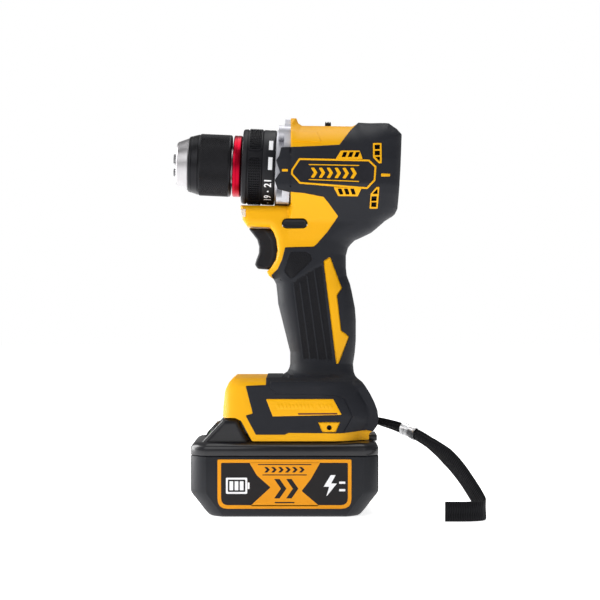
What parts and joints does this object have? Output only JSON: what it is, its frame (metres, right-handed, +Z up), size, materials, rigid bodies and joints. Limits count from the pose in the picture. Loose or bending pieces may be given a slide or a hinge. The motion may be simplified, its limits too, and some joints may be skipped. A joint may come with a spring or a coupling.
{
  "type": "cordless drill",
  "caption": "Cordless drill driver with keyless chuck, torque collar, two-stage gearbox, sprung trigger, direction button, speed selector, slide-off battery pack and wrist strap.",
  "frame": {"origin": "on the floor, under the middle of the battery pack's length and width", "axes": "+X from the chuck to the back of the motor, +Y to the drill's right-hand side, +Z up"},
  "size_m": [0.1965, 0.0998, 0.2502],
  "materials": {
    "yellow_plastic": "satin moulded nylon, yellow",
    "black_rubber": "soft-touch rubber moulded over the shell, charcoal",
    "black_plastic": "moulded nylon, black",
    "badge_plastic": "black plate with yellow printing",
    "gloss_black": "glossy moulded plastic, near black",
    "pack_charcoal": "satin moulded plastic, charcoal",
    "bright_steel": "turned steel",
    "dark_steel": "blackened steel",
    "sintered_steel": "sintered gear steel",
    "red_ring": "red anodised ring",
    "cast_aluminium": "die-cast, bead blasted",
    "crimp_metal": "bright rolled sleeve",
    "laminations": "varnished steel laminations",
    "copper_wire": "enamelled copper wire",
    "circuit_board": "green circuit board",
    "cell_wrap": "shrink wrap on steel cells",
    "label_film": "printed film label",
    "clear_lens": "frosted clear lens",
    "webbing": "woven polyester webbing, black"
  },
  "bodies": {
    "drill_body": {"housing_left": "yellow_plastic", "housing_right": "yellow_plastic", "grip_cover_left": "black_rubber", "grip_cover_right": "black_rubber", "side_badges": "badge_plastic", "foot_plates": "yellow_plastic", "gear_case": "cast_aluminium", "gear_case_screws": "dark_steel", "housing_screws": "dark_steel", "ring_gear_front": "sintered_steel", "ring_gear_rear": "sintered_steel", "spindle_bearing": "bright_steel", "motor_plate": "bright_steel", "motor_stator": "laminations", "motor_windings": "copper_wire", "motor_bearings": "bright_steel", "switch_body": "black_plastic", "control_board": "circuit_board", "terminal_block": "black_plastic", "lamp_lens": "clear_lens", "belt_hook_inserts": "bright_steel", "strap_eyelet": "black_plastic", "wrist_strap": "webbing", "strap_crimp": "crimp_metal", "clutch_spring": "dark_steel", "trigger_spring": "dark_steel"},
    "chuck": {"spindle": "bright_steel", "chuck_body": "bright_steel", "chuck_ring": "red_ring", "carrier_front": "sintered_steel"},
    "chuck_sleeve": {"chuck_sleeve": "dark_steel", "chuck_nut": "sintered_steel"},
    "rotor": {"rotor_shaft": "bright_steel", "rotor_magnets": "laminations", "cooling_fan": "black_plastic"},
    "carrier_rear": {"carrier_rear": "sintered_steel"},
    "torque_collar": {"torque_collar": "black_plastic"},
    "clutch_nut": {"clutch_nut": "sintered_steel"},
    "gear_selector": {"gear_selector": "black_plastic"},
    "trigger": {"trigger": "black_plastic"},
    "direction_button": {"direction_button": "black_plastic"},
    "battery": {"battery_base": "pack_charcoal", "battery_top": "gloss_black", "battery_cells": "cell_wrap", "cell_holder": "black_plastic", "battery_board": "circuit_board", "battery_label": "label_film", "battery_screws": "dark_steel"},
    "battery_latch": {"battery_latch": "black_plastic"},
    "gauge_button": {"gauge_button": "black_plastic"},
    "jaw_1": {"jaw_1": "dark_steel"},
    "planet_front_1": {"planet_front_1": "sintered_steel"},
    "planet_rear_1": {"planet_rear_1": "sintered_steel"},
    "jaw_2": {"jaw_2": "dark_steel"},
    "planet_front_2": {"planet_front_2": "sintered_steel"},
    "planet_rear_2": {"planet_rear_2": "sintered_steel"},
    "jaw_3": {"jaw_3": "dark_steel"},
    "planet_front_3": {"planet_front_3": "sintered_steel"},
    "planet_rear_3": {"planet_rear_3": "sintered_steel"}
  },
  "joints": [
    {"name": "spindle_spin", "type": "hinge", "parent": "drill_body", "child": "chuck", "pos_m": [0, 0, 0.2186], "axis": [0.999, 0, -0.0436], "continuous": true},
    {"name": "rotor_spin", "type": "hinge", "parent": "drill_body", "child": "rotor", "pos_m": [0, 0, 0.2186], "axis": [0.999, 0, -0.0436], "continuous": true},
    {"name": "carrier_rear_spin", "type": "hinge", "parent": "drill_body", "child": "carrier_rear", "pos_m": [0, 0, 0.2186], "axis": [0.999, 0, -0.0436], "continuous": true},
    {"name": "sleeve_turn", "type": "hinge", "parent": "chuck", "child": "chuck_sleeve", "pos_m": [0, 0, 0.2186], "axis": [0.999, 0, -0.0436], "range_deg": [-1550, 2590]},
    {"name": "jaw_1_slide", "type": "slide", "parent": "chuck", "child": "jaw_1", "axis": [-0.9537, 0, 0.3007], "range_m": [-0.0066, 0.0109]},
    {"name": "planet_front_1_spin", "type": "hinge", "parent": "chuck", "child": "planet_front_1", "pos_m": [0.0083, 0, 0.20698], "axis": [0.999, 0, -0.0436], "continuous": true},
    {"name": "planet_rear_1_spin", "type": "hinge", "parent": "carrier_rear", "child": "planet_rear_1", "pos_m": [0.01869, 0, 0.20652], "axis": [0.999, 0, -0.0436], "continuous": true},
    {"name": "jaw_2_slide", "type": "slide", "parent": "chuck", "child": "jaw_2", "axis": [-0.9707, -0.2241, -0.0872], "range_m": [-0.0066, 0.0109]},
    {"name": "planet_front_2_spin", "type": "hinge", "parent": "chuck", "child": "planet_front_2", "pos_m": [0.00904, 0.00974, 0.22384], "axis": [0.999, 0, -0.0436], "continuous": true},
    {"name": "planet_rear_2_spin", "type": "hinge", "parent": "carrier_rear", "child": "planet_rear_2", "pos_m": [0.01943, 0.00974, 0.22338], "axis": [0.999, 0, -0.0436], "continuous": true},
    {"name": "jaw_3_slide", "type": "slide", "parent": "chuck", "child": "jaw_3", "axis": [-0.9707, 0.2241, -0.0872], "range_m": [-0.0066, 0.0109]},
    {"name": "planet_front_3_spin", "type": "hinge", "parent": "chuck", "child": "planet_front_3", "pos_m": [0.00904, -0.00974, 0.22384], "axis": [0.999, 0, -0.0436], "continuous": true},
    {"name": "planet_rear_3_spin", "type": "hinge", "parent": "carrier_rear", "child": "planet_rear_3", "pos_m": [0.01943, -0.00974, 0.22338], "axis": [0.999, 0, -0.0436], "continuous": true},
    {"name": "collar_turn", "type": "hinge", "parent": "drill_body", "child": "torque_collar", "pos_m": [0, 0, 0.2186], "axis": [0.999, 0, -0.0436], "range_deg": [0, 285]},
    {"name": "clutch_nut_slide", "type": "slide", "parent": "drill_body", "child": "clutch_nut", "axis": [0.999, 0, -0.0436], "range_m": [0, 0.005], "deforming": ["clutch_spring"]},
    {"name": "gear_selector_slide", "type": "slide", "parent": "drill_body", "child": "gear_selector", "axis": [-1, 0, 0], "range_m": [0, 0.007]},
    {"name": "trigger_pull", "type": "slide", "parent": "drill_body", "child": "trigger", "axis": [1, 0, 0], "range_m": [0, 0.0065], "stiffness_N_per_m": 900, "springref_m": -0.004, "deforming": ["trigger_spring"]},
    {"name": "direction_push", "type": "slide", "parent": "drill_body", "child": "direction_button", "axis": [0, 1, 0], "range_m": [-0.0025, 0.0025]},
    {"name": "battery_slide", "type": "slide", "parent": "drill_body", "child": "battery", "axis": [-1, 0, 0], "range_m": [0, 0.09]},
    {"name": "battery_latch_press", "type": "slide", "parent": "battery", "child": "battery_latch", "axis": [0.728, 0, -0.6856], "range_m": [0, 0.0025], "stiffness_N_per_m": 1200, "springref_m": -0.003},
    {"name": "gauge_press", "type": "slide", "parent": "battery", "child": "gauge_button", "axis": [0.728, 0, -0.6856], "range_m": [0, 0.001], "stiffness_N_per_m": 1500, "springref_m": -0.001}
  ],
  "couplings": [
    {"joint": "rotor_spin", "follows": "spindle_spin", "ratio": 25},
    {"joint": "carrier_rear_spin", "follows": "spindle_spin", "ratio": 5},
    {"joint": "jaw_1_slide", "follows": "sleeve_turn", "m_per_rad": 0.00023873},
    {"joint": "planet_front_1_spin", "follows": "spindle_spin", "ratio": -2.6667},
    {"joint": "planet_rear_1_spin", "follows": "spindle_spin", "ratio": -13.333},
    {"joint": "jaw_2_slide", "follows": "sleeve_turn", "m_per_rad": 0.00023873},
    {"joint": "planet_front_2_spin", "follows": "spindle_spin", "ratio": -2.6667},
    {"joint": "planet_rear_2_spin", "follows": "spindle_spin", "ratio": -13.333},
    {"joint": "jaw_3_slide", "follows": "sleeve_turn", "m_per_rad": 0.00023873},
    {"joint": "planet_front_3_spin", "follows": "spindle_spin", "ratio": -2.6667},
    {"joint": "planet_rear_3_spin", "follows": "spindle_spin", "ratio": -13.333},
    {"joint": "clutch_nut_slide", "follows": "collar_turn", "m_per_rad": 0.0010052}
  ]
}
